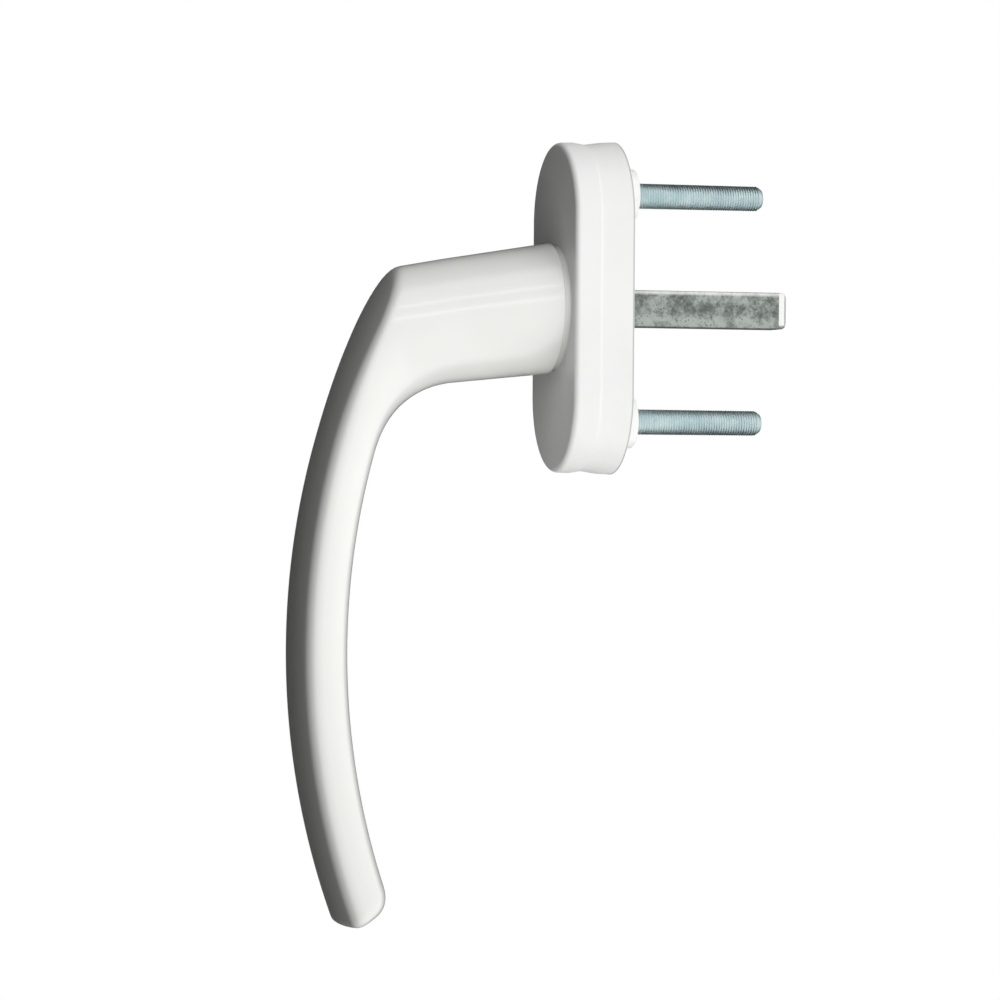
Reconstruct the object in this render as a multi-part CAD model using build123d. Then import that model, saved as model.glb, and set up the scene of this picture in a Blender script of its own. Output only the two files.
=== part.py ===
from build123d import *
import math
import os

# Window handle: a bowed lever on a two-part rose, with a square spindle and two fixing screws.
# Millimetres. The rose's back lies in the plane y = 0, the room is towards -Y,
# the spindle's axis is Y, and the lever hangs along -Z.

# Interface to the window sash
screw_pitch = 43.0
screw_diameter = 5.0
screw_length = 35.0
screw_reach = 29.8
screw_head_diameter = 9.2
screw_head_rim = 0.35
screw_core_diameter = 4.4
screw_tip_chamfer = 0.7
screw_recess_span = 4.8
screw_recess_slot = 1.1
screw_recess_depth = 1.9
spindle_side = 7.0
spindle_reach = 34.2
spindle_seat = 30.0
spindle_corner = 0.4
spindle_chamfer = 1.2
peg_diameter = 10.0
peg_height = 4.2
peg_chamfer = 0.2

# Rose
rose_width = 30.0
rose_height = 63.1
base_depth = 6.5
base_draft = 3.0
cover_depth = 4.85
cover_inset = 0.15
cover_draft = 2.0
cover_edge = 1.0
cover_wall = 1.6
seam_inset = 0.35
cover_slope = 1.8
base_slope = 3.6
pocket_depth = 5.0
pocket_wall = 4.0
pocket_corner = 1.5
collar_wall = 1.6
collar_rise = 3.0
bead_height = 0.3
screw_hole_clearance = 0.15
head_hole_clearance = 0.5

# Lever
neck_diameter = 25.4
neck_elbow_diameter = 23.6
neck_length = 20.5
neck_slope = 7.8
neck_edge = 0.7
bow_radius = 146.0
bow_front = -60.85
bow_level = -64.5
crown_height = 0.7
grip_width = 20.0
grip_depth = 8.7
grip_power = 3.2
grip_edge = 2.4
elbow_radius = 18.5
tip_angle = 21.15
tip_tilt = 5.5

# Turning parts
hub_diameter = 16.0
hub_end_diameter = 12.4
hub_end_flats = 10.6
hub_end_recess = 0.3
bush_wall = 1.4
bush_flange_width = 2.5
bush_flange_depth = 0.5
washer_depth = 0.5
washer_width = 2.6
cam_flats = 17.0
cam_corner_diameter = 20.0
cam_depth = 2.4
ring_depth = 0.8
ring_width = 2.0
ring_groove_depth = 0.5
ring_gap = 3.0
ring_lug = 1.5
ring_lug_hole = 0.6
spring_thickness = 0.6
spring_height = 2.2
spring_length = 28.6

# Clearances
turn_gap = 0.3
running_gap = 0.05
seam_gap = 0.02
seat_gap = 0.02
hub_hole_gap = 0.5
pocket_gap = 0.25

# Fineness of the lever's sections
oval_points = 16
elbow_steps = 12
corner_soft = 1.5

# Stations along Y, from the sash towards the room
seam = -base_depth
cover_front = seam - seam_gap - cover_depth
neck_end = cover_front - turn_gap
pocket_floor = -pocket_depth
flange_face = pocket_floor + bush_flange_depth
washer_face = flange_face + running_gap
cam_front = washer_face + washer_depth
cam_back = cam_front + cam_depth
ring_front = cam_back + running_gap
hub_back = -hub_end_recess
collar_top = seam - collar_rise
bead_middle = (seam + collar_top) / 2
spring_front = cam_front + 2 * running_gap
head_top = screw_reach - screw_length
head_cone = head_top + screw_head_rim
head_foot = head_cone + (screw_head_diameter - screw_core_diameter) / 2

# Radii of the nested turned parts
hub_radius = hub_diameter / 2
bush_bore = hub_radius + running_gap
bush_radius = bush_bore + bush_wall
collar_bore = bush_radius + seat_gap
collar_radius = collar_bore + collar_wall
cover_ring_bore = collar_radius + running_gap
cover_ring_radius = cover_ring_bore + cover_wall
washer_radius = bush_bore + washer_width
turning_radius = max(washer_radius, cam_corner_diameter / 2) + pocket_gap


def facing_room(y):
    """Sketch plane across the spindle's axis, its normal towards the room."""
    return Plane(origin=(0, y, 0), x_dir=(1, 0, 0), z_dir=(0, -1, 0))


def slab(sketch, back, front):
    """Prism of a sketch between two stations on the Y axis."""
    return extrude(facing_room(back) * sketch, amount=back - front)


def disc(radius, back, front, z=0):
    """Round bar along Y."""
    return slab(Pos(0, z) * Circle(radius), back, front)


def cone(back_radius, back, front_radius, front, z=0):
    """Round taper along Y."""
    outline = Polyline((0, back), (back_radius, back), (front_radius, front), (0, front), close=True)
    return Pos(0, 0, z) * revolve(make_face(outline), Axis.Y)


def stadium(width, height):
    """Upright outline with full-round ends."""
    return SlotOverall(height, width, rotation=90)


# Lever: the bow is struck about one centre, the elbow about another
bow_centre = Vector(0, bow_front + bow_radius, bow_level)
bow_axis = Axis(bow_centre, (1, 0, 0))
grip_back_radius = bow_radius - grip_depth
grip_outer_radius = bow_radius + grip_depth


def neck_point(side, along):
    """Point on the neck's upper (side 1) or lower (side -1) line, a distance out from its rose end."""
    radius = (neck_diameter + (neck_elbow_diameter - neck_diameter) * along / neck_length) / 2
    drop = along * math.tan(math.radians(neck_slope))
    return Vector(0, neck_end - along, side * radius - drop)


def elbow_centre():
    """Centre of the arc that meets the neck's lower line and the grip's back face smoothly."""
    outward = (neck_point(-1, neck_length) - neck_point(-1, 0)).normalized()
    upward = Vector(0, outward.Z, -outward.Y)
    start = neck_point(-1, 0) - upward * elbow_radius - bow_centre
    reach = grip_back_radius - elbow_radius
    lead = start.dot(outward)
    along = math.sqrt(lead**2 - start.dot(start) + reach**2) - lead
    return start + outward * along + bow_centre, upward


def line_crossing(origin, direction, first, second):
    """Distance from origin, along direction, to the line through two points of the middle plane."""
    line = second - first
    normal = Vector(0, -line.Z, line.Y)
    return (first - origin).dot(normal) / direction.dot(normal)


def circle_crossing(origin, direction, centre, radius):
    """Distance from a point inside a circle, along direction, to the circle."""
    offset = origin - centre
    lead = offset.dot(direction)
    return math.sqrt(lead**2 - offset.dot(offset) + radius**2) - lead


def oval(inner, outer, half_width, power):
    """Closed section between two points of the middle plane: round at power 2, boxy above."""
    middle = (inner + outer) * 0.5
    reach = (outer - inner) * 0.5
    points = []
    for step in range(oval_points):
        turn = math.tau * step / oval_points - math.pi / 2
        across = math.copysign(abs(math.cos(turn)) ** (2 / power), math.cos(turn))
        along = math.copysign(abs(math.sin(turn)) ** (2 / power), math.sin(turn))
        points.append(middle + reach * along + Vector(half_width * across, 0, 0))
    return Wire([Spline(*points, periodic=True)])


def ease(low, high, share):
    """Smooth change from one value to another."""
    return low + (high - low) * share * share * (3 - 2 * share)


def soft_minimum(first, second):
    """Smaller of two lengths, with a smooth change where they are alike."""
    low = min(first, second)
    share = math.exp((low - first) / corner_soft) + math.exp((low - second) / corner_soft)
    return low - corner_soft * math.log(share)


def elbow_sections(centre, first, last):
    """Sections fanned about the elbow's centre, from the neck's round to the grip's flat oval."""
    sections = []
    for step in range(elbow_steps + 1):
        share = step / elbow_steps
        turn = first + (last - first) * share
        direction = Vector(0, math.cos(turn), math.sin(turn))
        reach = circle_crossing(centre, direction, bow_centre, grip_outer_radius)
        to_neck = line_crossing(centre, direction, neck_point(1, 0), neck_point(1, neck_length))
        if to_neck > 0:
            reach = soft_minimum(reach, to_neck)
        half_width = ease(neck_elbow_diameter / 2, grip_width / 2, share)
        inner = centre + direction * elbow_radius
        outer = centre + direction * reach
        sections.append(oval(inner, outer, half_width, ease(2, grip_power, share)))
    return sections


def bow_drum():
    """Solid whose crowned rim is the lever's front face."""
    half = neck_diameter
    crown_radius = (grip_width / 2) ** 2 / (2 * crown_height)
    sag = crown_radius - math.sqrt(crown_radius**2 - half**2)
    rim = bow_centre.Y + bow_radius + crown_height
    arc = ThreePointArc((-half, rim - sag), (0, rim), (half, rim - sag))
    sides = Polyline((half, rim - sag), (half, bow_centre.Y), (-half, bow_centre.Y), (-half, rim - sag))
    profile = Pos(0, 0, bow_level) * make_face([arc, sides])
    return revolve(profile, bow_axis)


def tip_plane():
    """Plane that cuts the grip's end, tilted so that the front reaches a little further."""
    turn = math.radians(180 + tip_angle)
    middle = bow_centre + Vector(0, math.cos(turn), math.sin(turn)) * bow_radius
    turn += math.radians(tip_tilt)
    return Plane(middle, x_dir=(1, 0, 0), z_dir=(0, -math.sin(turn), math.cos(turn)))


def make_lever():
    centre, upward = elbow_centre()
    spoke = centre - bow_centre
    first = math.atan2(upward.Z, upward.Y)
    last = math.atan2(spoke.Z, spoke.Y)
    sections = elbow_sections(centre, first, last)
    neck_round = oval(neck_point(-1, 0), neck_point(1, 0), neck_diameter / 2, 2)
    neck = Solid.make_loft([neck_round, sections[0]], ruled=True)
    elbow = Solid.make_loft(sections)
    sweep = tip_angle + tip_tilt + 180 - math.degrees(last)
    grip = Solid.revolve(Face(sections[-1]), sweep, bow_axis)
    grip = split(grip, bisect_by=tip_plane(), keep=Keep.BOTTOM).solid()
    body = neck.fuse(elbow, grip) & bow_drum()
    crown = Vector(0, bow_front - crown_height, bow_level)
    front = body.faces().sort_by_distance(crown)[0]
    tip = body.faces().filter_by(GeomType.PLANE).sort_by(Axis.Z)[0]
    body = body.fillet(grip_edge, front.edges() + tip.edges())
    body = body.fillet(neck_edge, body.faces().sort_by(Axis.Y)[-1].edges())
    body += disc(hub_radius, cam_front, neck_end)
    key = Circle(hub_end_diameter / 2) & Rectangle(hub_end_flats, hub_end_diameter)
    body += slab(key, hub_back, cam_front)
    ring_back = ring_front + ring_depth + running_gap
    groove = Circle(hub_end_diameter) - Circle(hub_end_diameter / 2 - ring_groove_depth)
    body -= slab(groove, ring_back, ring_front - running_gap / 2)
    socket_side = spindle_side + 2 * seat_gap
    socket = Rectangle(socket_side, socket_side)
    return body - slab(socket, 0, -spindle_seat - seat_gap)


def make_spindle():
    bar = slab(Rectangle(spindle_side, spindle_side), spindle_reach, -spindle_seat)
    bar = chamfer(bar.faces().sort_by(Axis.Y)[-1].edges(), spindle_chamfer)
    return fillet(bar.edges().filter_by(Axis.Y), spindle_corner)


def make_detent_cam():
    key = Circle(hub_end_diameter / 2 + seat_gap)
    key &= Rectangle(hub_end_flats + 2 * seat_gap, hub_end_diameter + 2 * seat_gap)
    plate = Rectangle(cam_flats, cam_flats) & Circle(cam_corner_diameter / 2)
    return slab(plate - key, cam_back, cam_front)


def make_thrust_washer():
    return slab(Circle(washer_radius) - Circle(bush_bore), cam_front, washer_face)


def make_retaining_ring():
    bore = hub_end_diameter / 2 - ring_groove_depth + seat_gap
    band = Circle(bore + ring_width) - Circle(bore)
    band -= Pos(0, -bore) * Rectangle(ring_gap, 2 * (ring_width + ring_lug))
    lug_x = ring_gap / 2 + ring_lug
    lug_z = -bore - ring_width / 2
    for side in (-1, 1):
        lug = Circle(ring_lug) - Circle(ring_lug_hole)
        eye = Circle(ring_lug_hole)
        place = Pos(side * lug_x, lug_z)
        band = band - place * eye + place * lug
    band -= Circle(bore)
    return slab(band, ring_front + ring_depth, ring_front)


def make_bearing_bush():
    sleeve = disc(bush_radius, pocket_floor, collar_top)
    flange = disc(bush_bore + bush_flange_width, flange_face, pocket_floor)
    return sleeve + flange - disc(bush_bore, flange_face, collar_top)


def screw_places():
    """Heights of the two screws."""
    return {"upper": screw_pitch / 2, "lower": -screw_pitch / 2}


def slope_seam(body, rim, slope):
    """Slopes the side in towards the seam, so that cover and base meet in a shallow V."""
    return chamfer(rim.edges(), seam_inset, slope, reference=rim)


def make_rose_base():
    body = extrude(facing_room(0) * stadium(rose_width, rose_height), base_depth, taper=base_draft)
    body = slope_seam(body, body.faces().sort_by(Axis.Y)[0], base_slope)
    body += disc(collar_radius, seam, collar_top)
    ridge = Polyline(
        (collar_bore, bead_middle - 2 * bead_height),
        (collar_radius, bead_middle - 2 * bead_height),
        (collar_radius + bead_height, bead_middle),
        (collar_radius, bead_middle + 2 * bead_height),
        (collar_bore, bead_middle + 2 * bead_height),
        close=True,
    )
    body += revolve(make_face(ridge), Axis.Y)
    for z in screw_places().values():
        peg = disc(peg_diameter / 2, peg_height, 0, z)
        body += chamfer(peg.faces().sort_by(Axis.Y)[-1].edges(), peg_chamfer)
    body -= disc(collar_bore, 0, collar_top)
    spring_stop = cam_flats / 2 + spring_thickness + 2 * seat_gap
    pocket_width = rose_width - 2 * pocket_wall
    pocket_height = cam_corner_diameter + 2 * (spring_stop - cam_flats / 2) + 2 * turn_gap
    body -= slab(RectangleRounded(pocket_width, pocket_height, pocket_corner), 0, pocket_floor)
    body -= disc(turning_radius, 0, pocket_floor)
    slot_width = spring_thickness + 2 * seat_gap
    slot = Rectangle(slot_width, spring_length + 2 * turn_gap)
    for side in (-1, 1):
        body -= slab(Pos(side * (spring_stop - slot_width / 2), 0) * slot, 0, spring_front - seat_gap)
    hole = screw_diameter / 2 + screw_hole_clearance
    head_hole = screw_head_diameter / 2 + head_hole_clearance
    seat = screw_head_diameter / 2 + seat_gap
    foot = screw_core_diameter / 2 + seat_gap
    for z in screw_places().values():
        body -= disc(hole, peg_height, head_cone, z)
        body -= disc(head_hole, head_cone, seam, z)
        body -= cone(foot, head_foot, seat, head_cone, z)
    return body


def make_detent_spring(side):
    middle = side * (cam_flats / 2 + seat_gap + spring_thickness / 2)
    strip = Pos(middle, 0) * Rectangle(spring_thickness, spring_length)
    return slab(strip, spring_front + spring_height, spring_front)


def make_fixing_screw(z):
    thread_start = peg_height + turn_gap
    core = screw_core_diameter / 2
    thread = screw_diameter / 2
    outline = Polyline(
        (0, head_top),
        (screw_head_diameter / 2, head_top),
        (screw_head_diameter / 2, head_cone),
        (core, head_foot),
        (core, thread_start),
        (thread, thread_start),
        (thread, screw_reach - screw_tip_chamfer),
        (thread - screw_tip_chamfer, screw_reach),
        (0, screw_reach),
        close=True,
    )
    body = Pos(0, 0, z) * revolve(make_face(outline), Axis.Y)
    for turn in (0, 90):
        slot = Pos(0, z) * Rectangle(screw_recess_span, screw_recess_slot, rotation=turn)
        body -= slab(slot, head_top + screw_recess_depth, head_top)
    return body


def make_rose_cover():
    rim = seam - seam_gap
    width = rose_width - 2 * cover_inset
    height = rose_height - 2 * cover_inset
    body = extrude(facing_room(rim) * stadium(width, height), cover_depth, taper=cover_draft)
    body = fillet(body.faces().sort_by(Axis.Y)[0].edges(), cover_edge)
    body = slope_seam(body, body.faces().sort_by(Axis.Y)[-1], cover_slope)
    inside = cover_front + cover_wall
    cavity = stadium(width - 2 * cover_wall, height - 2 * cover_wall)
    body -= extrude(facing_room(rim) * cavity, rim - inside, taper=cover_draft)
    body += disc(cover_ring_radius, rim, inside)
    reach = 2 * bead_height + running_gap
    groove = Polyline(
        (cover_ring_bore, bead_middle - reach),
        (cover_ring_bore + bead_height, bead_middle),
        (cover_ring_bore, bead_middle + reach),
        close=True,
    )
    body -= disc(cover_ring_bore, rim, min(inside, collar_top - turn_gap))
    body -= revolve(make_face(groove), Axis.Y)
    body -= disc(hub_radius + hub_hole_gap, rim, cover_front)
    return body


parts = {
    "lever": make_lever(),
    "spindle": make_spindle(),
    "detent_cam": make_detent_cam(),
    "thrust_washer": make_thrust_washer(),
    "retaining_ring": make_retaining_ring(),
    "rose_base": make_rose_base(),
    "bearing_bush": make_bearing_bush(),
    "rose_cover": make_rose_cover(),
}
for name, side in {"left": -1, "right": 1}.items():
    parts[f"detent_spring_{name}"] = make_detent_spring(side)
for name, z in screw_places().items():
    parts[f"fixing_screw_{name}"] = make_fixing_screw(z)

os.makedirs("parts", exist_ok=True)
for name, shape in parts.items():
    export_step(shape, f"parts/{name}.step")
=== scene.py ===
# %% [markdown]
# # A window handle, dressed for the camera
# The handle is a bowed white lever on a two-part rose, with a square spindle and two long
# screws on its back. The solid model comes in first and never moves. Each later cell takes
# one piece or one finish, says what it is on the real handle, and then makes it.

# %% Load the solid model
import math

import bmesh
import bpy
import numpy as np
from mathutils import Matrix, Vector


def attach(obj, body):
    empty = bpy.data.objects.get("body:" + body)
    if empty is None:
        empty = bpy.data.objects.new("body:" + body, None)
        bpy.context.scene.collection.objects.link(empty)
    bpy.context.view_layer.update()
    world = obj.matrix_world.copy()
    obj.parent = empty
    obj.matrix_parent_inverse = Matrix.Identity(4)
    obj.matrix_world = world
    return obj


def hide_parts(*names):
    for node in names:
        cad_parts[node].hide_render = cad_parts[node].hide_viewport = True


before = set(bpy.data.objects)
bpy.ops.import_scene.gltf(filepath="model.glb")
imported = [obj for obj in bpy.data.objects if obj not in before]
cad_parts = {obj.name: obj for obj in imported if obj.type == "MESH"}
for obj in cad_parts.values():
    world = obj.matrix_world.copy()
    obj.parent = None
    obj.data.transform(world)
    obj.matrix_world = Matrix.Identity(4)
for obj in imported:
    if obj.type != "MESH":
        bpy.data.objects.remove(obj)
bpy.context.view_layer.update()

# %% [markdown]
# ## Sizes
# The lever, the spindle and the screws are rebuilt here with more detail than the solids have,
# so their sizes are repeated in millimetres. Y runs along the spindle into the sash, the room
# is towards -Y, and the lever hangs along -Z. Blender works in metres, so MM turns one into
# the other.

# %% Sizes of the rebuilt pieces
MM = 0.001
neck_end, neck_diameter, neck_elbow_diameter = -11.67, 25.4, 23.6
neck_length, neck_slope, neck_edge = 20.5, 7.8, 0.3
neck_stop, neck_stop_radius, neck_stop_drop = -12.6, 12.4, 0.2
collar_radius, collar_fillet, collar_back = 11.2, 0.9, -11.42
bow_radius, bow_front, bow_level = 146.0, -60.85, -64.5
crown_height, crown_sag, grip_width, grip_depth, grip_power = 0.7, 0.6, 20.0, 8.7, 3.2
grip_edge, elbow_edge, elbow_radius, tip_angle, tip_tilt = 2.9, 1.1, 18.5, 21.1, 10.0
hub_radius, hub_shoulder, hub_back = 8.0, -3.95, -0.3
key_radius, key_flat, groove_radius = 6.2, 5.3, 5.7
groove_front, groove_back = -1.525, -0.65
socket_half, socket_floor = 3.52, -30.02
hub_chamfer, screw_pitch = 0.3, 43.0
tip_round_back, tip_round_front, tip_run, fan_spread = 4.4, 2.4, 4.4, 8.0
print("lever reaches", round(-bow_front + crown_height, 1), "mm into the room")

# %% [markdown]
# ## A helper for node trees
# Shader and geometry trees are easier to read as arithmetic. The class below wraps one output
# socket. Sums and products of wrapped sockets add Math nodes, and the method node makes any
# other node: its settings go in first, then the values or links of its sockets.


# %% The socket class
class Value:
    """An output socket that can be added, multiplied and passed on to further nodes."""

    def __init__(self, tree, socket=None):
        self.tree, self.socket = tree, socket

    def node(self, kind, settings=None, inputs=None, output=0):
        made = self.tree.nodes.new(kind)
        for name, value in (settings or {}).items():
            setattr(made, name, value)
        for key, value in (inputs or {}).items():
            if isinstance(value, Value):
                self.tree.links.new(value.socket, made.inputs[key])
            else:
                made.inputs[key].default_value = value
        return Value(self.tree, made.outputs[output])

    def math(self, operation, first, second=0.0):
        return self.node("ShaderNodeMath", {"operation": operation}, {0: first, 1: second})

    def __add__(self, other):
        return self.math("ADD", self, other)

    def __sub__(self, other):
        return self.math("SUBTRACT", self, other)

    def __rsub__(self, other):
        return self.math("SUBTRACT", other, self)

    def __mul__(self, other):
        return self.math("MULTIPLY", self, other)

    def __truediv__(self, other):
        return self.math("DIVIDE", self, other)

    def step(self, low, high):
        """0 below low, 1 above high, smooth between."""
        limits = {0: self, 1: low, 2: high}
        return self.node("ShaderNodeMapRange", {"interpolation_type": "SMOOTHSTEP"}, limits)

    def between(self, first, second):
        """Colour mix, with this value as the share of the second colour."""
        return self.node("ShaderNodeMix", {"data_type": "RGBA"}, {0: self, 6: first, 7: second}, 2)

    __radd__, __rmul__ = __add__, __mul__


print("socket class ready")

# %% [markdown]
# ## Finishes
# Every finish starts from the same recipe: a Principled shader, the object's own coordinates,
# and noise at the scale of the real surface. Object coordinates are metres, so a noise scale
# of 1000 gives features of about a millimetre.


# %% A recipe for finishes
class Finish:
    """A material with its Principled shader and object coordinates at hand."""

    def __init__(self, name, **constants):
        self.material = bpy.data.materials.new(name)
        self.material.use_nodes = True
        self.tree = self.material.node_tree
        self.shader = self.tree.nodes["Principled BSDF"]
        self.start = Value(self.tree)
        self.place = self.start.node("ShaderNodeTexCoord", output="Object")
        for socket, value in constants.items():
            self.shader.inputs[socket.replace("_", " ")].default_value = value

    def noise(self, scale, detail=2.0, roughness=0.5, stretch=None):
        place = self.place
        if stretch:
            place = self.start.node("ShaderNodeMapping", inputs={"Vector": place, "Scale": stretch})
        sockets = {"Vector": place, "Scale": scale, "Detail": detail, "Roughness": roughness}
        return self.start.node("ShaderNodeTexNoise", inputs=sockets)

    def cells(self, scale, output="Distance"):
        sockets = {"Vector": self.place, "Scale": scale}
        return self.start.node("ShaderNodeTexVoronoi", inputs=sockets, output=output)

    def axis(self, name):
        """One coordinate of the place on the object."""
        return self.start.node("ShaderNodeSeparateXYZ", inputs={0: self.place}, output=name)

    def feed(self, socket, value):
        self.tree.links.new(value.socket, self.shader.inputs[socket])

    def bump(self, height, distance):
        sockets = {"Strength": 1.0, "Distance": distance, "Height": height}
        self.feed("Normal", self.start.node("ShaderNodeBump", inputs=sockets))


def shade(red, green, blue):
    return (red, green, blue, 1.0)


print("finish recipe ready")

# %% [markdown]
# ## White powder coat
# The lever is an aluminium casting with a stoved white coat. Powder melts and flows into a
# glossy skin with a slow ripple, some millimetres from crest to crest, and a finer orange peel
# on top of it, both only microns deep. A bump of two noises breaks the highlights up as the
# ripple does, and the white wanders by a percent or two, as a real coat does. The white is
# also painted darker from the elbow to the tip, a painted shade for the light that falls off
# down the grip.

# %% Powder coat
powder = Finish("stoved_powder_coat", IOR=1.5, Coat_Weight=1.0, Coat_Roughness=0.13)
peel = powder.noise(900, 2.0, 0.45)
flow = powder.noise(170, 1.0)
drift = powder.noise(60, 2.0)
coat_white = drift.step(0.3, 0.7).between(shade(0.812, 0.815, 0.789), shade(0.836, 0.838, 0.813))
# Painted shade: the white is darkened from the elbow to the tip, for the light that falls off down
# the grip.
painted_tip_shade = 1 - powder.axis("Z").step(-0.12, -0.02)
powder.feed("Base Color", painted_tip_shade.between(coat_white, shade(0.748, 0.752, 0.727)))
powder.feed("Roughness", 0.13 + 0.06 * peel)
powder.bump(0.85 * flow + 0.15 * peel, 0.000035)
print("made", powder.material.name)

# %% [markdown]
# ## White moulding
# The rose is injection moulded, a shade cooler than the coat. Mould steel leaves a finer grain
# than powder does, and the wall sinks by a few microns over its ribs, so a long slow wave
# goes with the grain. A thin grey line is painted along the edge that lies against the sash, a
# painted shade for that rounded edge turning away from the light, and it sets the white rose
# off from a white background.

# %% Moulding
moulding = Finish("white_moulding", IOR=1.5)
sink = moulding.noise(95, 2.0)
grain = moulding.noise(5200, 2.0)
moulding_white = sink.step(0.25, 0.75).between(shade(0.85, 0.858, 0.846), shade(0.875, 0.88, 0.868))
depth = moulding.axis("Y")
# Painted shade: a thin grey band along the back edge, where the rounded edge turns from the light.
rim = depth.step(-0.0004, -0.00015) * (1 - depth.step(-0.00004, -0.00001))
moulding.feed("Base Color", rim.between(moulding_white, shade(0.5, 0.51, 0.5)))
moulding.feed("Roughness", 0.3 + 0.08 * grain)
moulding.bump(0.85 * sink + 0.15 * grain, 0.000016)
print("made", moulding.material.name)

# %% [markdown]
# ## Zinc on the spindle
# The spindle is drawn bar, plated in a barrel with hundreds of others. They knock against each
# other, so the zinc is mottled: pale patches where it is thick, dark rubbed spots, and short
# scratches along the bar. Two noises mix the patches, small cells make the spots, and a
# noise that is stretched along Y makes the scratches. The lower part of the bar is painted a
# little paler, a painted sheen of light from below. The bar's upper edge and a band near its
# rounded end are painted bright and less metallic, a painted highlight where light catches them.

# %% Spindle zinc
zinc = Finish("barrel_plated_zinc")
patches = zinc.noise(430, 8.0, 0.74)
spots = 1 - zinc.cells(1500).step(0.12, 0.42)
scratches = zinc.noise(1.0, 3.0, 0.6, stretch=(2600, 150, 2600))
bar_y, bar_z = zinc.axis("Y"), zinc.axis("Z")
# Painted sheen: the lower part of the bar leans towards the pale zinc, for light from below.
painted_low_sheen = 1 - bar_z.step(-0.0022, -0.0007)
pale = (patches + 0.09 * painted_low_sheen).step(0.37, 0.66)
plated = pale.between(shade(0.115, 0.131, 0.121), shade(0.405, 0.435, 0.41))
rubbed = (spots * zinc.noise(600, 3.0).step(0.4, 0.58)) * 0.7
stained = rubbed.between(plated, shade(0.1, 0.115, 0.107))
# Painted highlight: the top edge and a band near the rounded end turn bright and less metallic.
painted_top_highlight = bar_z.step(0.0025, 0.0031) * (0.4 + 0.5 * patches)
painted_end_highlight = bar_y.step(0.03243, 0.0326) * (1 - 0.65 * bar_y.step(0.0334, 0.0339))
painted_end_highlight = painted_end_highlight * bar_z.step(-0.0031, -0.0026)
painted_highlight = zinc.start.math("MAXIMUM", painted_top_highlight, painted_end_highlight)
zinc.feed("Base Color", painted_highlight.between(stained, shade(0.86, 0.87, 0.85)))
zinc.feed("Metallic", (0.86 + 0.12 * pale) * (1 - 0.7 * painted_highlight))
zinc.feed("Roughness", 0.34 + 0.16 * patches + 0.1 * scratches)
zinc.bump(0.5 * patches + 0.3 * scratches + 0.2 * spots, 0.00003)
print("made", zinc.material.name)

# %% [markdown]
# ## Blue zinc on the screws
# The screws have the thin blue passivation that is usual on fasteners. Its tint drifts with
# the film's thickness, and it is cleaner and shinier than the spindle's plating.

# %% Screw zinc
blue_zinc = Finish("blue_passivated_zinc", Metallic=1.0)
film = blue_zinc.noise(260, 4.0, 0.55)
handled = blue_zinc.noise(900, 3.0, 0.6)
tint = film.step(0.32, 0.68).between(shade(0.5, 0.63, 0.655), shade(0.64, 0.75, 0.76))
blue_zinc.feed("Base Color", tint)
blue_zinc.feed("Roughness", 0.36 + 0.16 * handled)
blue_zinc.bump(handled, 0.000012)
print("made", blue_zinc.material.name)

# %% [markdown]
# ## Finishes of the inner works
# From the back one looks into the base at the detents: a stamped cam and washer in dull
# plated steel, blued springs and a retaining ring, and a bush of natural acetal. They get
# plainer finishes, but none is one flat colour.

# %% Inner finishes
stamped = Finish("stamped_steel", Metallic=1.0)
rolled = stamped.noise(1.0, 4.0, 0.6, stretch=(220, 220, 2400))
stamped.feed("Base Color", rolled.between(shade(0.42, 0.425, 0.42), shade(0.66, 0.66, 0.645)))
stamped.feed("Roughness", 0.3 + 0.2 * stamped.noise(600, 3.0))
stamped.bump(rolled, 0.00001)

blued = Finish("blued_spring_steel", Metallic=1.0)
temper = blued.noise(300, 3.0)
oxide = temper.step(0.3, 0.7).between(shade(0.13, 0.15, 0.2), shade(0.3, 0.3, 0.31))
blued.feed("Base Color", oxide)
blued.feed("Roughness", 0.25 + 0.15 * blued.noise(1500, 2.0))
blued.bump(blued.noise(2400, 2.0), 0.000006)

acetal = Finish("natural_acetal", IOR=1.48)
cloud = acetal.noise(180, 3.0)
acetal.feed("Base Color", cloud.between(shade(0.74, 0.735, 0.7), shade(0.82, 0.815, 0.785)))
acetal.feed("Roughness", 0.42 + 0.1 * acetal.noise(3000, 2.0))
acetal.bump(cloud, 0.00001)
print("made", stamped.material.name, blued.material.name, acetal.material.name)

# %% [markdown]
# ## Solids that keep their shape
# The works inside the rose are right as they are, with exact normals from the solid model, so
# they only take their finishes.

# %% Dress the kept solids
kept = {
    "bearing_bush": acetal,
    "detent_cam": stamped,
    "thrust_washer": stamped,
    "retaining_ring": blued,
    "detent_spring_left": blued,
    "detent_spring_right": blued,
}
for node, finish in kept.items():
    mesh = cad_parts[node].data
    mesh.materials.clear()
    mesh.materials.append(finish.material)
print("dressed", len(kept), "solids")

# %% [markdown]
# ## The lever's lines
# Seen from the side, the lever is two straight lines for the neck, a small arc inside the
# elbow, and one large arc for the bow. The elbow's arc touches the neck's lower line and the
# back of the grip, so its centre follows from both.


# %% Lines of the lever
def neck_point(side, along):
    """Point (y, z) on the neck's upper or lower line, a distance out from the rose."""
    radius = (neck_diameter + (neck_elbow_diameter - neck_diameter) * along / neck_length) / 2
    return np.array([neck_end - along, side * radius - along * math.tan(math.radians(neck_slope))])


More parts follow.
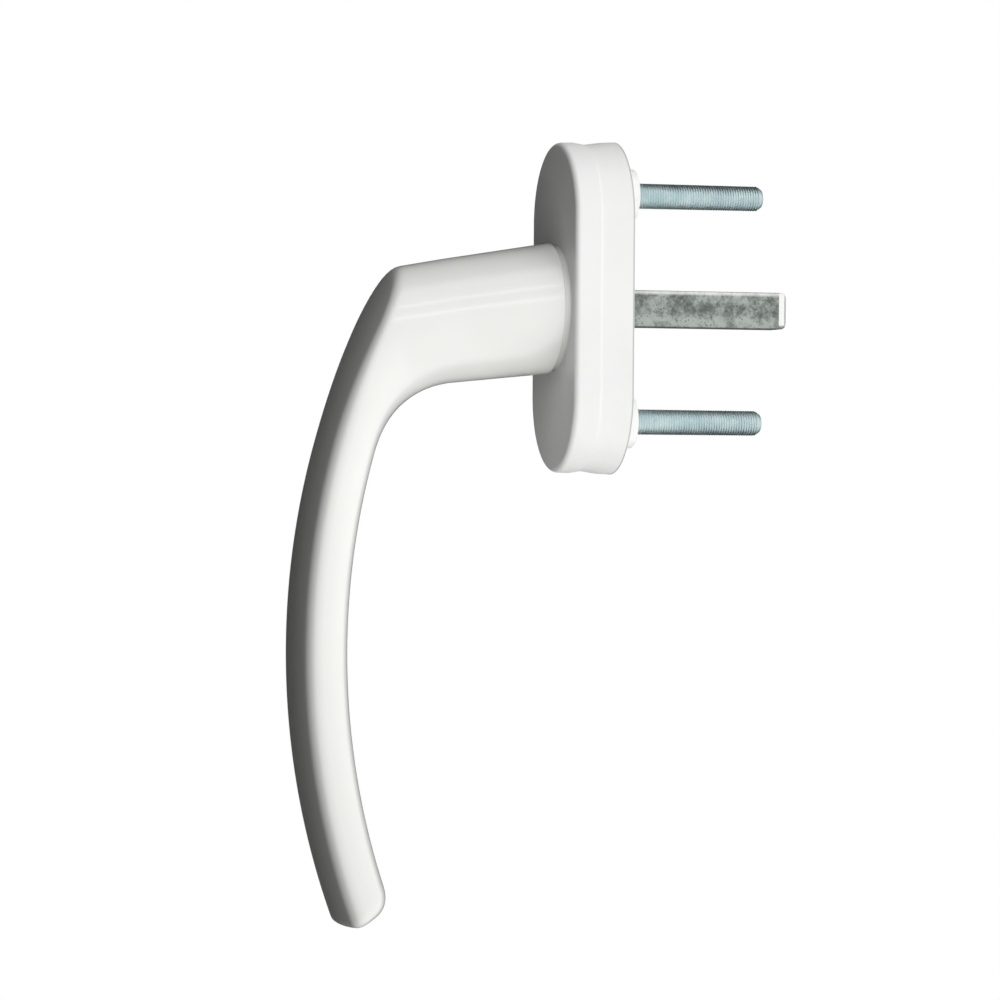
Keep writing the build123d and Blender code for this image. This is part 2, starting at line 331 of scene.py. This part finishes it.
bow_centre = np.array([bow_front + bow_radius, bow_level])
outward = neck_point(-1, neck_length) - neck_point(-1, 0)
outward /= np.linalg.norm(outward)
upward = np.array([outward[1], -outward[0]])
from_bow = neck_point(-1, 0) - upward * elbow_radius - bow_centre
lead = from_bow @ outward
grip_back = bow_radius - grip_depth
run = math.sqrt(lead**2 - from_bow @ from_bow + (grip_back - elbow_radius) ** 2) - lead
elbow_centre = from_bow + outward * run + bow_centre
elbow_start = math.atan2(upward[1], upward[0])
elbow_end = math.atan2(*(elbow_centre - bow_centre)[::-1])
tip_turn = math.pi + math.radians(tip_angle)
tip_across = tip_turn + math.radians(tip_tilt)
tip_middle = bow_centre + bow_radius * np.array([math.cos(tip_turn), math.sin(tip_turn)])
tip_normal = np.array([-math.sin(tip_across), math.cos(tip_across)])
print("elbow turns about", elbow_centre.round(2), "from", round(math.degrees(elbow_start), 1))

# %% [markdown]
# ## The lever's skin
# The casting blends three forms: an oval that changes from the neck's round to the grip's flat
# D, a crowned drum whose rim is the front of the bow, and a plane that cuts the tip. One could
# cut meshes with booleans and bevel the edges, but bevels on such edges come out ragged.
# Here each form is a distance, negative inside, and a rounded maximum of the distances has
# its edges rounded already. The skin is found along rays from the middle of each section.


# %% Distances and their rounded maximum
def oval_distance(across, along, half_width, half_depth, power):
    """Distance to an oval that is round at power 2 and boxy above, to first order."""
    u, v = np.abs(across) / half_width + 1e-9, np.abs(along) / half_depth + 1e-9
    size = (u**power + v**power) ** (1 / power)
    steepness = np.hypot(u ** (power - 1) / half_width, v ** (power - 1) / half_depth)
    return (size - 1) / (size ** (1 - power) * steepness)


def drum_distance(across, radius):
    """Distance to the crowned rim of the bow."""
    crown = (grip_width / 2) ** 2 / (2 * crown_sag)
    return radius - (bow_radius + crown_height - crown + np.sqrt(crown**2 - across**2))


def rounded_maximum(first, second, radius, power=2.6):
    """Larger of two distances, with a soft arc where they meet (round at power 2)."""
    inside = np.minimum(np.maximum(first, second), -radius)
    past = [np.maximum(side + radius, 0) for side in (first, second)]
    return inside + (past[0] ** power + past[1] ** power) ** (1 / power)


def soft_minimum(first, second, width=0.8):
    """Smaller of two numbers, eased where they are close."""
    low = min(first, second)
    shares = [math.exp((low - value) / width) for value in (first, second)]
    return low - width * math.log(shares[0] + shares[1])


def ease(low, high, share):
    return low + (high - low) * share * share * (3 - 2 * share)


print("a square corner rounded by 2:", rounded_maximum(np.float64(-2), np.float64(0), 2.0).round(3))

# %% [markdown]
# A section is a plane through the elbow's centre or the bow's centre. Its rays start in the
# middle of the metal and run to the skin, which forty halvings find to a nanometre.

# %% Rings of the skin
around, halvings = 160, 40
turn_of_point = np.arange(around) / around * math.tau
ray_across, ray_along = np.cos(turn_of_point), np.sin(turn_of_point)


def crossing(origin, direction, radius):
    """Distance along a direction to a circle about the bow's centre."""
    offset = origin - bow_centre
    ahead = offset @ direction
    return math.sqrt(ahead**2 - offset @ offset + radius**2) - ahead


def tip_round(radius):
    """The tip's edge is rounder at the back, where fingers leave it, than at the front."""
    share = np.clip((radius - grip_back) / grip_depth, 0, 1)
    return tip_round_back + (tip_round_front - tip_round_back) * share


def skin_ring(pivot, turn, heart, inner, outer, half_width, power, edge):
    """One ring of points where a section plane through a pivot meets the skin."""
    direction = np.array([math.cos(turn), math.sin(turn)])
    rim = crossing(pivot, direction, bow_radius + crown_height)
    near, far = inner, outer
    if pivot is not heart:
        near, far = crossing(pivot, direction, inner), crossing(pivot, direction, outer)
    half_depth = (outer - inner) / 2
    reach = (soft_minimum(far, rim) - near) / 2
    low, high = np.zeros(around), np.full(around, 2.0)
    for _ in range(halvings):
        middle = (low + high) / 2
        across, along = half_width * ray_across * middle, near + reach + reach * ray_along * middle
        place = pivot + along[:, None] * direction
        depth = np.hypot(*(place - heart).T) - inner - half_depth
        radius = np.hypot(*(place - bow_centre).T)
        skin = oval_distance(across, depth, half_width, half_depth, power)
        skin = rounded_maximum(skin, drum_distance(across, radius), edge)
        skin = rounded_maximum(skin, (place - tip_middle) @ tip_normal, tip_round(radius))
        low, high = np.where(skin < 0, middle, low), np.where(skin < 0, high, middle)
    return np.column_stack([across, place])


print("points in a ring:", around)

# %% [markdown]
# The rings run from the tip to the neck: a flat end, the tip's rounding, the bow, and the
# elbow, where the section changes from the flat D to a round. The tip is cut with a slight
# tilt, so the first planes fan about a pivot nearer than the bow's centre, until they lie
# radially.

# %% Grip and elbow
tip_steps, fan_steps, grip_steps, elbow_steps, neck_steps = 14, 14, 110, 72, 30
neck_edge_steps, collar_steps = 8, 6
grip = (bow_centre, grip_back, grip_back + 2 * grip_depth, grip_width / 2, grip_power, grip_edge)
fan_end = tip_turn - math.radians(fan_spread)
fan_lean = bow_radius * math.sin(tip_across - tip_turn) / math.sin(tip_across - fan_end)
fan_pivot = bow_centre + fan_lean * np.array([math.cos(fan_end), math.sin(fan_end)])
fan_turns = [1e-7]
bend = tip_run / (bow_radius - fan_lean)
for step in range(1, tip_steps + 1):
    fan_turns.append(bend * (1 - math.cos(step / tip_steps * math.pi / 2)))
for step in range(1, fan_steps + 1):
    fan_turns.append(bend + (tip_across - fan_end - bend) * step / fan_steps)
rings = [skin_ring(fan_pivot, tip_across - turn, *grip) for turn in fan_turns]
flat_end = rings[0].mean(0)
rings = [flat_end + (rings[0] - flat_end) * share for share in (0.0, 0.3, 0.6, 0.85)] + rings
grip_end = math.pi + math.remainder(elbow_end - math.pi, math.tau)
for step in range(1, grip_steps):
    rings.append(skin_ring(bow_centre, fan_end - (fan_end - grip_end) * step / grip_steps, *grip))
for step in range(elbow_steps + 1):
    share = 1 - step / elbow_steps
    turn = elbow_start + (elbow_end - elbow_start) * share
    direction = np.array([math.cos(turn), math.sin(turn)])
    reach = crossing(elbow_centre, direction, bow_radius + grip_depth)
    line = neck_point(1, neck_length) - neck_point(1, 0)
    across_line = np.array([-line[1], line[0]])
    to_neck = (neck_point(1, 0) - elbow_centre) @ across_line / (direction @ across_line)
    if to_neck > 0:
        reach = soft_minimum(reach, to_neck)
    half_width = ease(neck_elbow_diameter / 2, grip_width / 2, share)
    power, edge = ease(2, grip_power, share * share), ease(elbow_edge, grip_edge, share)
    section = (elbow_radius, reach, half_width, power, edge)
    rings.append(skin_ring(elbow_centre, turn, elbow_centre, *section))
print("rings so far:", len(rings), "lowest point", round(min(r[:, 2].min() for r in rings), 2))

# %% [markdown]
# The neck is straight from the elbow to its round end, whose edge is broken by a small radius. It
# stops about a millimetre short of the rose, and a narrower collar with a hollow fillet fills
# the gap. Then come the turned hub, the keyed end with its ring groove, and the square socket.
# They are rings as well, so the whole casting is one closed skin.


# %% Neck, hub and socket
def flat_ring(y, radius):
    """Ring across the spindle's axis, with one radius or one for each point."""
    return np.column_stack([radius * ray_across, np.full(around, y), radius * ray_along])


elbow_ring = rings[-1]
end_ring = flat_ring(neck_stop, neck_stop_radius) - (0, 0, neck_stop_drop)
for step in range(1, neck_steps + 1):
    share = step / neck_steps * (1 - neck_edge / neck_length)
    rings.append(elbow_ring + (end_ring - elbow_ring) * share)
for step in range(1, neck_edge_steps + 1):
    turn = step / neck_edge_steps * math.pi / 2
    share = 1 - neck_edge * (1 - math.sin(turn)) / neck_length
    ring = elbow_ring + (end_ring - elbow_ring) * share
    middle = ring.mean(0)
    shrink = neck_edge * (1 - math.cos(turn)) / neck_diameter * 2
    rings.append(middle + (ring - middle) * (1 - shrink))
rings.append(flat_ring(neck_stop, collar_radius))
for step in range(collar_steps + 1):
    turn = step / collar_steps * math.pi / 2
    y = collar_back - collar_fillet * (1 - math.sin(turn))
    rings.append(flat_ring(y, collar_radius + collar_fillet * (1 - math.cos(turn))))
key = np.minimum(key_radius, key_flat / np.maximum(np.abs(ray_across), 1e-6))
square = socket_half / np.maximum(np.abs(ray_across), np.abs(ray_along))
grooved = np.minimum(key, groove_radius)
for y, radius in (
    (collar_back, hub_radius),
    (hub_shoulder - hub_chamfer, hub_radius),
    (hub_shoulder, hub_radius - hub_chamfer),
    (hub_shoulder, key),
    (groove_front, key),
    (groove_front, grooved),
    (groove_back, grooved),
    (groove_back, key),
    (hub_back, key),
    (hub_back, square),
    (socket_floor, square),
    (socket_floor, square * 0.0),
):
    rings.append(flat_ring(y, radius))
print("rings in all:", len(rings))

# %% [markdown]
# Neighbouring rings are joined by quads. The first and the last ring are single points, so
# doubles are merged, the normals are made to point outwards, and edges over 30 degrees stay
# sharp.


# %% Join rings into a mesh
def add_piece(name, mesh, body, nodes):
    """Show a finished mesh in place of solids, on the body that carries them."""
    piece = bpy.data.objects.new(name, mesh)
    bpy.context.scene.collection.objects.link(piece)
    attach(piece, body)
    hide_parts(*nodes)
    triangles = sum(len(face.vertices) - 2 for face in mesh.polygons)
    print(name, len(mesh.vertices), "points,", triangles, "triangles")


def skin_of_rings(name, rings, finish):
    count = len(rings[0])
    points = np.concatenate(rings) * MM
    first = np.arange(len(rings) - 1)[:, None] * count
    here = np.arange(count)[None, :]
    there = (here + 1) % count
    quads = np.stack([first + here, first + there, first + count + there, first + count + here], -1)
    mesh = bpy.data.meshes.new(name)
    mesh.from_pydata(points.tolist(), [], quads.reshape(-1, 4).tolist())
    tidy = bmesh.new()
    tidy.from_mesh(mesh)
    bmesh.ops.remove_doubles(tidy, verts=tidy.verts, dist=1e-8)
    bmesh.ops.dissolve_degenerate(tidy, dist=1e-9, edges=tidy.edges)
    bmesh.ops.recalc_face_normals(tidy, faces=tidy.faces)
    tidy.to_mesh(mesh)
    tidy.free()
    mesh.materials.append(finish.material)
    mesh.shade_smooth()
    mesh.set_sharp_from_angle(angle=math.radians(30))
    return mesh


print("ring mesher ready")

# %% [markdown]
# ## The lever in place
# The finished skin takes the place of the lever's solid and rides on the same body.

# %% Lever
casting = skin_of_rings("lever_casting", rings, powder)
add_piece("lever_casting", casting, "lever", ["lever"])

# %% [markdown]
# ## The rose
# Cover and base meet in a shallow V, which shows in the outline at the rose's two ends. Along
# the sides the real mouldings are flush and the joint can't be seen. So copies of the two solids
# get their V filled along the sides: points of the slope move out to the drafted wall, and
# their normals turn with them.


# %% Flush sides
def flush_sides(name, node, body, low, high, radius, draft):
    """Copy a moulding and fill its slope between two depths, but for the rose's ends."""
    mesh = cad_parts[node].data.copy()
    mesh.name = name
    normals = [corner.vector.copy() for corner in mesh.corner_normals]
    out, keep = {}, {}
    for point in mesh.vertices:
        x, y, z = point.co / MM
        centre = math.copysign(min(abs(z), rose_straight), z)
        way = Vector((x, 0, z - centre))
        if low <= y <= high and way.length > rose_rim:
            out[point.index] = way.normalized()
            share = min(max((abs(z - centre) / way.length - end_start) / end_span, 0), 1)
            keep[point.index] = ease(0, 1, share)
            flush = out[point.index] * (radius + draft * y) + Vector((0, y, centre))
            point.co = point.co.lerp(flush * MM, 1 - keep[point.index])
    for face in mesh.polygons:
        if all(i in out for i in face.vertices) and abs(face.normal.y) < 0.5:
            for corner, i in zip(face.loop_indices, face.vertices):
                flush = (out[i] - Vector((0, draft, 0))).normalized()
                normals[corner] = flush.lerp(normals[corner], keep[i]).normalized()
    mesh.normals_split_custom_set(normals)
    mesh.materials.clear()
    mesh.materials.append(moulding.material)
    print(name, "moved", len(out), "points")
    add_piece(name, mesh, body, [node])


rose_straight, rose_rim = 16.55, 14.2
end_start, end_span = 0.85, 0.13
flush_sides("rose_base_moulding", "rose_base", "base", -6.51, -2.89, 15.0, 0.0524)
flush_sides("rose_cover_moulding", "rose_cover", "cover", -8.33, -6.51, 15.078, 0.035)

# %% [markdown]
# ## The spindle
# Drawn square bar has rounded corners, and its free end is rounded so that it finds the
# gear's hole. Rings of a rounded square follow its length.

# %% Spindle
spindle_half, spindle_corner, spindle_chamfer = 3.5, 0.45, 0.3
spindle_round, round_steps = 1.2, 8
spindle_front, spindle_tip = -30.0, 34.2


def square_ring(y, half, corner):
    """Rounded square across the Y axis."""
    point = np.column_stack([ray_across, ray_along])
    point = point / np.abs(point).max(1)[:, None] * half
    inner = np.clip(point, corner - half, half - corner)
    away = point - inner
    length = np.maximum(np.hypot(*away.T), 1e-9)[:, None]
    in_corner = (np.abs(away) > 1e-9).all(1)[:, None]
    point = np.where(in_corner, inner + away / length * corner, point)
    return np.column_stack([point[:, 0], np.full(around, y), point[:, 1]])


bar = [square_ring(spindle_front, 0.0, 0.0)]
for y, inset in (
    (spindle_front, spindle_chamfer),
    (spindle_front + spindle_chamfer, 0.0),
    (0.0, 0.0),
):
    bar.append(square_ring(y, spindle_half - inset, spindle_corner))
for step in range(round_steps + 1):
    turn = step / round_steps * math.pi / 2
    y = spindle_tip - spindle_round * (1 - math.sin(turn))
    bar.append(square_ring(y, spindle_half - spindle_round * (1 - math.cos(turn)), spindle_corner))
bar.append(square_ring(spindle_tip, 0.0, 0.0))
bar_mesh = skin_of_rings("spindle_bar", bar, zinc)
add_piece("spindle_bar", bar_mesh, "lever", ["spindle"])

# %% [markdown]
# ## The screws
# Each fixing screw is a countersunk M5 machine screw. A thread is a rule, not a shape to draw:
# the radius rises and falls once for each pitch, and that pattern shifts by one pitch for each
# turn. A Geometry Nodes tree spins the screw's half profile into a grid of points and adds
# the thread to their radius, so pitch, depth and length stay numbers that can be changed.

# %% Thread tree
thread_tree = bpy.data.node_groups.new("threaded_screw", "GeometryNodeTree")
face = thread_tree.interface
face.new_socket("Geometry", in_out="OUTPUT", socket_type="NodeSocketGeometry")
face.new_socket("Half Profile", in_out="INPUT", socket_type="NodeSocketGeometry")
socket_of = {}
for name, kind in (
    ("Pitch", "NodeSocketFloat"),
    ("Thread Depth", "NodeSocketFloat"),
    ("Thread Start", "NodeSocketFloat"),
    ("Thread End", "NodeSocketFloat"),
    ("Head Top", "NodeSocketFloat"),
    ("Recess Depth", "NodeSocketFloat"),
    ("Rows", "NodeSocketInt"),
    ("Around", "NodeSocketInt"),
    ("Finish", "NodeSocketMaterial"),
):
    socket_of[name] = face.new_socket(name, in_out="INPUT", socket_type=kind).identifier
group_input = thread_tree.nodes.new("NodeGroupInput")
given = {socket.name: Value(thread_tree, socket) for socket in group_input.outputs if socket.name}
print("thread tree inputs:", ", ".join(socket_of))

# %% [markdown]
# The grid's X coordinate is the share of a turn, and its Y coordinate the share of the profile's
# length. Sample Curve reads the profile there, and the wave of the thread is taken off the
# radius between the thread's start and end.

# %% Points of the thread
make = Value(thread_tree)
counts = {"Vertices X": given["Around"] + 1, "Vertices Y": given["Rows"] + 1}
grid = make.node("GeometryNodeMeshGrid", inputs={"Size X": 1.0, "Size Y": 1.0, **counts})
spot = make.node("GeometryNodeInputPosition")
share_of_turn = make.node("ShaderNodeSeparateXYZ", inputs={0: spot}, output="X") + 0.5
share_of_length = make.node("ShaderNodeSeparateXYZ", inputs={0: spot}, output="Y") + 0.5
profile = make.node("GeometryNodeMeshToCurve", inputs={"Mesh": given["Half Profile"]})
place = {"Curves": profile, "Factor": share_of_length}
on_profile = make.node("GeometryNodeSampleCurve", {"mode": "FACTOR"}, place, "Position")
radius = make.node("ShaderNodeSeparateXYZ", inputs={0: on_profile}, output="X")
along = make.node("ShaderNodeSeparateXYZ", inputs={0: on_profile}, output="Y")
phase = make.math("FRACT", along / given["Pitch"] + share_of_turn)
crest = (1 - make.math("ABSOLUTE", phase * 2 - 1)).step(0.08, 0.86)
run_in = along.step(given["Thread Start"], given["Thread Start"] + given["Pitch"])
run_out = 1 - along.step(given["Thread End"] - given["Pitch"], given["Thread End"])
cut_radius = radius - (1 - crest) * run_in * run_out * given["Thread Depth"]
turn = share_of_turn * math.tau
across, up = (cut_radius * make.math(wave, turn) for wave in ("COSINE", "SINE"))
new_place = make.node("ShaderNodeCombineXYZ", inputs={0: across, 1: along, 2: up})
threaded = make.node("GeometryNodeSetPosition", inputs={"Geometry": grid, "Position": new_place})
threaded = make.node("GeometryNodeMergeByDistance", inputs={"Geometry": threaded, "Distance": 1e-7})
print("thread tree has", len(thread_tree.nodes), "nodes")

# %% [markdown]
# The driver's cross is cut from the head with a Mesh Boolean of two bars. The tree ends in
# Realize Instances and Set Material, and the evaluated result becomes a plain mesh.

# %% Recess and output
middle = make.node("ShaderNodeCombineXYZ", inputs={1: given["Head Top"]})
deep = given["Recess Depth"] * 2
cross_long, cross_wide, cross_core = 4.8 * MM, 1.1 * MM, 2.4 * MM
wings = []
for wide, high in ((cross_long, cross_wide), (cross_wide, cross_long), (cross_core, cross_core)):
    size = make.node("ShaderNodeCombineXYZ", inputs={0: wide, 1: deep, 2: high})
    wing = make.node("GeometryNodeMeshCube", inputs={"Size": size})
    moved = {"Geometry": wing, "Translation": middle}
    wings.append(make.node("GeometryNodeTransform", inputs=moved))
cutting = {"operation": "DIFFERENCE", "solver": "EXACT"}
screw_body = threaded
for wing in wings:
    cut = {"Mesh 1": screw_body, "Mesh 2": wing}
    screw_body = make.node("GeometryNodeMeshBoolean", cutting, cut)
whole = make.node("GeometryNodeRealizeInstances", inputs={"Geometry": screw_body})
painted = {"Geometry": whole, "Material": given["Finish"]}
whole = make.node("GeometryNodeSetMaterial", inputs=painted)
group_output = thread_tree.nodes.new("NodeGroupOutput")
thread_tree.links.new(whole.socket, group_output.inputs[0])
print("thread tree ends in", whole.socket.node.bl_label)

# %% [markdown]
# The half profile lists radius and depth in millimetres, from the head's middle to the point. Both
# screws use the same tree, and only their height differs.

# %% Two screws from one tree
half_profile = (
    (0, -5.2), (4.3, -5.2), (4.55, -5.1), (4.6, -4.85), (2.2, -2.45), (2.2, 4.3),
    (2.42, 4.5), (2.36, 28.7), (2.3, 28.95), (1.75, 29.7), (1.6, 29.8), (0, 29.8),
)
values = {
    "Pitch": 0.5 * MM,
    "Thread Depth": 0.16 * MM,
    "Thread Start": 4.5 * MM,
    "Thread End": 29.5 * MM,
    "Head Top": half_profile[0][1] * MM,
    "Recess Depth": 1.9 * MM,
    "Rows": 900,
    "Around": 48,
    "Finish": blue_zinc.material,
}
for name, side in (("upper", 1), ("lower", -1)):
    line = bpy.data.meshes.new("screw_profile_" + name)
    points = [(x * MM, y * MM, 0) for x, y in half_profile]
    line.from_pydata(points, [(i, i + 1) for i in range(len(points) - 1)], [])
    carrier = bpy.data.objects.new("screw_profile_" + name, line)
    bpy.context.scene.collection.objects.link(carrier)
    spin = carrier.modifiers.new("threaded_screw", "NODES")
    spin.node_group = thread_tree
    for key_name, value in values.items():
        spin[socket_of[key_name]] = value
    bpy.context.view_layer.update()
    shown = carrier.evaluated_get(bpy.context.evaluated_depsgraph_get())
    mesh = bpy.data.meshes.new_from_object(shown)
    bpy.data.objects.remove(carrier)
    mesh.transform(Matrix.Translation((0, 0, side * screw_pitch / 2 * MM)))
    mesh.shade_smooth()
    mesh.set_sharp_from_angle(angle=math.radians(50))
    add_piece("screw_" + name, mesh, "base", ["fixing_screw_" + name])

# %% [markdown]
# ## Camera
# The photograph was taken a little from the room's side, level with the handle and from about
# a metre away. The angle, the lens and a slight roll come from matching the screws, the
# spindle and the outline of the rose.

# %% Camera
view_data = bpy.data.cameras.new("photo_view")
sensor, lens_ratio = 36.0, 5.26
view_data.sensor_width, view_data.lens = sensor, sensor * lens_ratio
camera = bpy.data.objects.new("photo_view", view_data)
bpy.context.scene.collection.objects.link(camera)
azimuth, roll, distance = math.radians(74.1), math.radians(0.45), 1.0
aim = Vector((-5.70, -20.02, -36.55)) * MM
back = Vector((math.sin(azimuth), -math.cos(azimuth), 0))
camera.location = aim + back * distance
camera.rotation_mode = "QUATERNION"
facing_handle = (-back).to_track_quat("-Z", "Y").to_matrix()
camera.rotation_quaternion = (facing_handle @ Matrix.Rotation(roll, 3, "Z")).to_quaternion()
bpy.context.scene.camera = camera
print("camera at", [round(v, 4) for v in camera.location])

# %% [markdown]
# ## Light
# The photograph's light is a tent: nearly all of the right side glows, from far below to far
# above, and the room side is dark. Faces that look at us and faces that look at the sash come
# out equally white, while the fronts of the rose and of the bow fall into shade, which is what
# draws the lever's form. A world whose glow depends on direction gives that with no lamp, and
# the glow grows towards the top and the bottom, where the tent comes closest. A weaker fill on
# the far side keeps the handle white from behind. Reflections see plain white on the lit side and
# little of the fill, and the camera sees plain white everywhere.

# %% World
scene = bpy.context.scene
scene.view_settings.view_transform = "Standard"
world = bpy.data.worlds.new("studio")
world.use_nodes = True
scene.world = world
air = Value(world.node_tree)
sides = {"tent": Vector((0.888, 0.459, -0.03)), "fill": Vector((-0.7, 0.714, 0.0))}
way = air.node("ShaderNodeTexCoord", output="Generated")
towards = {}
for name, side in sides.items():
    dot = {0: way, 1: side}
    towards[name] = air.node("ShaderNodeVectorMath", {"operation": "DOT_PRODUCT"}, dot, "Value")
tent = towards["tent"].step(0.06, 0.35)
fill = towards["fill"].step(0.45, 0.9)
rise = air.node("ShaderNodeSeparateXYZ", inputs={0: way}, output="Z")
ray = {}
for name in ("Camera", "Glossy", "Transmission"):
    ray[name] = air.node("ShaderNodeLightPath", output=f"Is {name} Ray")
mirrored = ray["Glossy"] + ray["Transmission"]
steep = rise * rise
level_glow, steep_glow, fill_glow, fill_hidden = 0.62, 4.8, 0.6, 0.51
glow = tent * (mirrored + (1 - mirrored) * (level_glow + steep_glow * steep * steep))
glow = glow + fill * (fill_glow - fill_hidden * mirrored)
strength = ray["Camera"] + (1 - ray["Camera"]) * glow
world_shader = world.node_tree.nodes["Background"]
world_shader.inputs["Color"].default_value = shade(1, 1, 1)
world.node_tree.links.new(strength.socket, world_shader.inputs["Strength"])
print("world ready")

# %% [markdown]
# Three narrow soft boxes add the thin highlights: two run along the upper neck, and one follows
# the near edge of the grip.


# %% Strip lamps
def soft_box(name, direction, width, height, power):
    """A rectangular lamp, one metre from the handle's middle, that the camera doesn't see."""
    data = bpy.data.lights.new(name, "AREA")
    data.shape, data.size, data.size_y, data.energy = "RECTANGLE", width, height, power
    lamp = bpy.data.objects.new(name, data)
    scene.collection.objects.link(lamp)
    way = Vector(direction).normalized()
    lamp.location = lamp_aim + way * lamp_distance
    lamp.rotation_mode = "QUATERNION"
    lamp.rotation_quaternion = way.to_track_quat("Z", "Y")
    lamp.visible_camera = False


lamp_aim, lamp_distance = Vector((0, -0.02, -0.035)), 1.0
soft_box("upper_strip", (0.682, 0.274, 0.677), 0.6, 0.09, 0.2)
soft_box("lower_strip", (0.891, 0.274, 0.36), 0.6, 0.09, 0.2)
soft_box("front_strip", (0.962, -0.245, 0.0), 0.05, 0.7, 0.12)
print("strip lamps ready")

# %% [markdown]
# ## Floor
# A pale floor lies a little below the handle. It takes the handle's shadow close by, and fades
# to the white of the background further out, so that no horizon shows. Only the camera sees
# it: light thrown back up would take the depth from the shaded room side.

# %% Floor
floor_half, floor_level = 4, -0.2
floor_mesh = bpy.data.meshes.new("floor")
signs = ((-1, -1), (1, -1), (1, 1), (-1, 1))
corners = [(x * floor_half, y * floor_half, floor_level) for x, y in signs]
floor_mesh.from_pydata(corners, [], [(0, 1, 2, 3)])
floor = bpy.data.objects.new("floor", floor_mesh)
scene.collection.objects.link(floor)
for kind in ("diffuse", "glossy", "transmission", "shadow"):
    setattr(floor, "visible_" + kind, False)
paper = Finish("floor_paper", Roughness=0.9)
paper.shader.inputs["Base Color"].default_value = shade(0.88, 0.88, 0.88)
away = paper.start.node("ShaderNodeVectorMath", {"operation": "LENGTH"}, {0: paper.place}, "Value")
seen = paper.start.node("ShaderNodeLightPath", output="Is Camera Ray")
white = paper.start.node("ShaderNodeEmission", inputs={"Color": shade(1, 1, 1), "Strength": 1.0})
matt = Value(paper.tree, paper.shader.outputs[0])
white_share = seen * (0.7 + 0.3 * away.step(0.24, 0.5))
mixed = paper.start.node("ShaderNodeMixShader", inputs={0: white_share, 1: matt, 2: white})
paper.tree.links.new(mixed.socket, paper.tree.nodes["Material Output"].inputs["Surface"])
floor_mesh.materials.append(paper.material)
print("floor ready")
